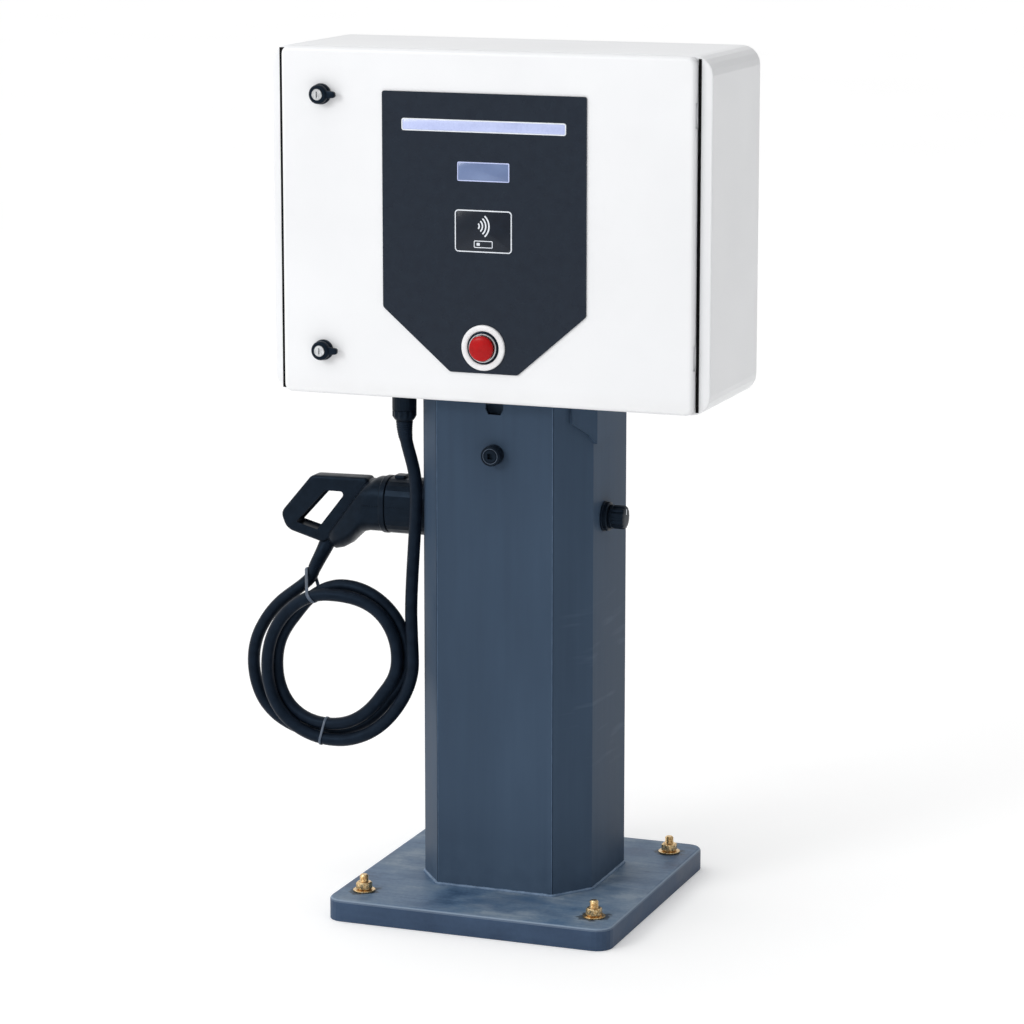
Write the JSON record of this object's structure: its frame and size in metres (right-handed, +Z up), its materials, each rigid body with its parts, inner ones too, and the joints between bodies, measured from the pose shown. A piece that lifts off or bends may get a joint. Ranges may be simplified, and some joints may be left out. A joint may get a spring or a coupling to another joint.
{
  "type": "ev charging post",
  "caption": "Pedestal charging post: cabinet with hinged door, light bar, display and stop button on a bolted column, with a holstered cable connector.",
  "frame": {"origin": "middle of the base plate's underside", "axes": "+Z up, front (door) towards -Y, +X to the right of someone facing the door; the cable hangs on the -X side"},
  "size_m": [0.679, 0.416, 1.16],
  "materials": {
    "column_blue": "slate blue powder coat, slightly worn on the base",
    "white_coat": "white powder coat",
    "zinc": "zinc-plated sheet",
    "yellow_zinc": "yellow passivated zinc, worn",
    "bright_steel": "bright turned metal",
    "black_plastic": "fine-grained black moulding",
    "fascia_black": "satin dark blue-grey panel",
    "lamp_lens": "diffusing lens",
    "display_glass": "blue-grey display cover",
    "reader_face": "printed reader face",
    "white_plastic": "white moulding",
    "stop_red": "red moulding",
    "cable_rubber": "matt cable sheath",
    "gasket_foam": "foamed seal",
    "grey_plastic": "light grey device housing"
  },
  "bodies": {
    "post": {"anchor_nut_1": "yellow_zinc", "anchor_nut_2": "yellow_zinc", "anchor_nut_3": "yellow_zinc", "anchor_nut_4": "yellow_zinc", "anchor_stud_1": "yellow_zinc", "anchor_stud_2": "yellow_zinc", "anchor_stud_3": "yellow_zinc", "anchor_stud_4": "yellow_zinc", "base_plate": "column_blue", "cabinet_body": "white_coat", "cabinet_bolt_1": "zinc", "cabinet_bolt_2": "zinc", "cabinet_bolt_3": "zinc", "cabinet_bolt_4": "zinc", "cable_drop": "cable_rubber", "charge_controller": "grey_plastic", "circuit_breaker": "grey_plastic", "column_cap_plate": "column_blue", "column_shell": "column_blue", "contactor": "black_plastic", "din_rail": "zinc", "gland_body": "black_plastic", "gland_nut": "black_plastic", "hinge_arm_lower": "zinc", "hinge_arm_upper": "zinc", "holster_socket": "black_plastic", "isolator_base": "black_plastic", "mounting_plate": "zinc", "support_bracket": "column_blue"},
    "door": {"door_panel": "white_coat", "door_gasket": "gasket_foam", "hinge_block_upper": "zinc", "hinge_block_lower": "zinc", "hinge_pin_upper": "bright_steel", "hinge_pin_lower": "bright_steel", "lock_housing_upper": "black_plastic", "lock_housing_lower": "black_plastic", "fascia_panel": "fascia_black", "light_bar": "lamp_lens", "display_window": "display_glass", "card_reader": "reader_face", "estop_ring": "white_plastic", "estop_collar": "bright_steel", "estop_contact_block": "black_plastic"},
    "upper_lock": {"lock_wing_upper": "black_plastic", "lock_core_upper": "bright_steel"},
    "lower_lock": {"lock_wing_lower": "black_plastic", "lock_core_lower": "bright_steel"},
    "estop_button": {"estop_head": "stop_red"},
    "front_panel": {"column_front_panel": "column_blue", "column_lock_body": "black_plastic"},
    "column_lock": {"column_lock_core": "black_plastic"},
    "isolator_handle": {"isolator_knob": "black_plastic"},
    "connector": {"connector_shell": "black_plastic", "connector_nose": "black_plastic", "cable_boot": "cable_rubber", "cable_tail": "cable_rubber", "cable_coil": "cable_rubber"},
    "breaker_lever": {"breaker_toggle": "black_plastic"}
  },
  "joints": [
    {"name": "door_hinge", "type": "hinge", "parent": "post", "child": "door", "pos_m": [0.28, -0.126, 0.93], "axis": [0, 0, 1], "range_deg": [0, 95]},
    {"name": "upper_lock_turn", "type": "hinge", "parent": "door", "child": "upper_lock", "pos_m": [-0.227, -0.132, 1.098], "axis": [0, 1, 0], "range_deg": [0, 90]},
    {"name": "lower_lock_turn", "type": "hinge", "parent": "door", "child": "lower_lock", "pos_m": [-0.227, -0.132, 0.76], "axis": [0, -1, 0], "range_deg": [0, 90]},
    {"name": "estop_press", "type": "slide", "parent": "door", "child": "estop_button", "axis": [0, 1, 0], "range_m": [0, 0.004], "stiffness_N_per_m": 600, "springref_m": -0.004},
    {"name": "front_panel_tilt", "type": "hinge", "parent": "post", "child": "front_panel", "pos_m": [0, -0.095, 0.033], "axis": [1, 0, 0], "range_deg": [0, 25]},
    {"name": "column_lock_turn", "type": "hinge", "parent": "front_panel", "child": "column_lock", "pos_m": [0, -0.095, 0.627], "axis": [0, -1, 0], "range_deg": [0, 90]},
    {"name": "isolator_turn", "type": "hinge", "parent": "post", "child": "isolator_handle", "pos_m": [0.121, 0, 0.535], "axis": [1, 0, 0], "range_deg": [0, 90]},
    {"name": "connector_pull", "type": "slide", "parent": "post", "child": "connector", "axis": [-1, 0, 0], "range_m": [0, 0.06]},
    {"name": "breaker_flip", "type": "hinge", "parent": "post", "child": "breaker_lever", "pos_m": [-0.104, 0.0152, 1.01], "axis": [1, 0, 0], "range_deg": [0, 30]}
  ]
}
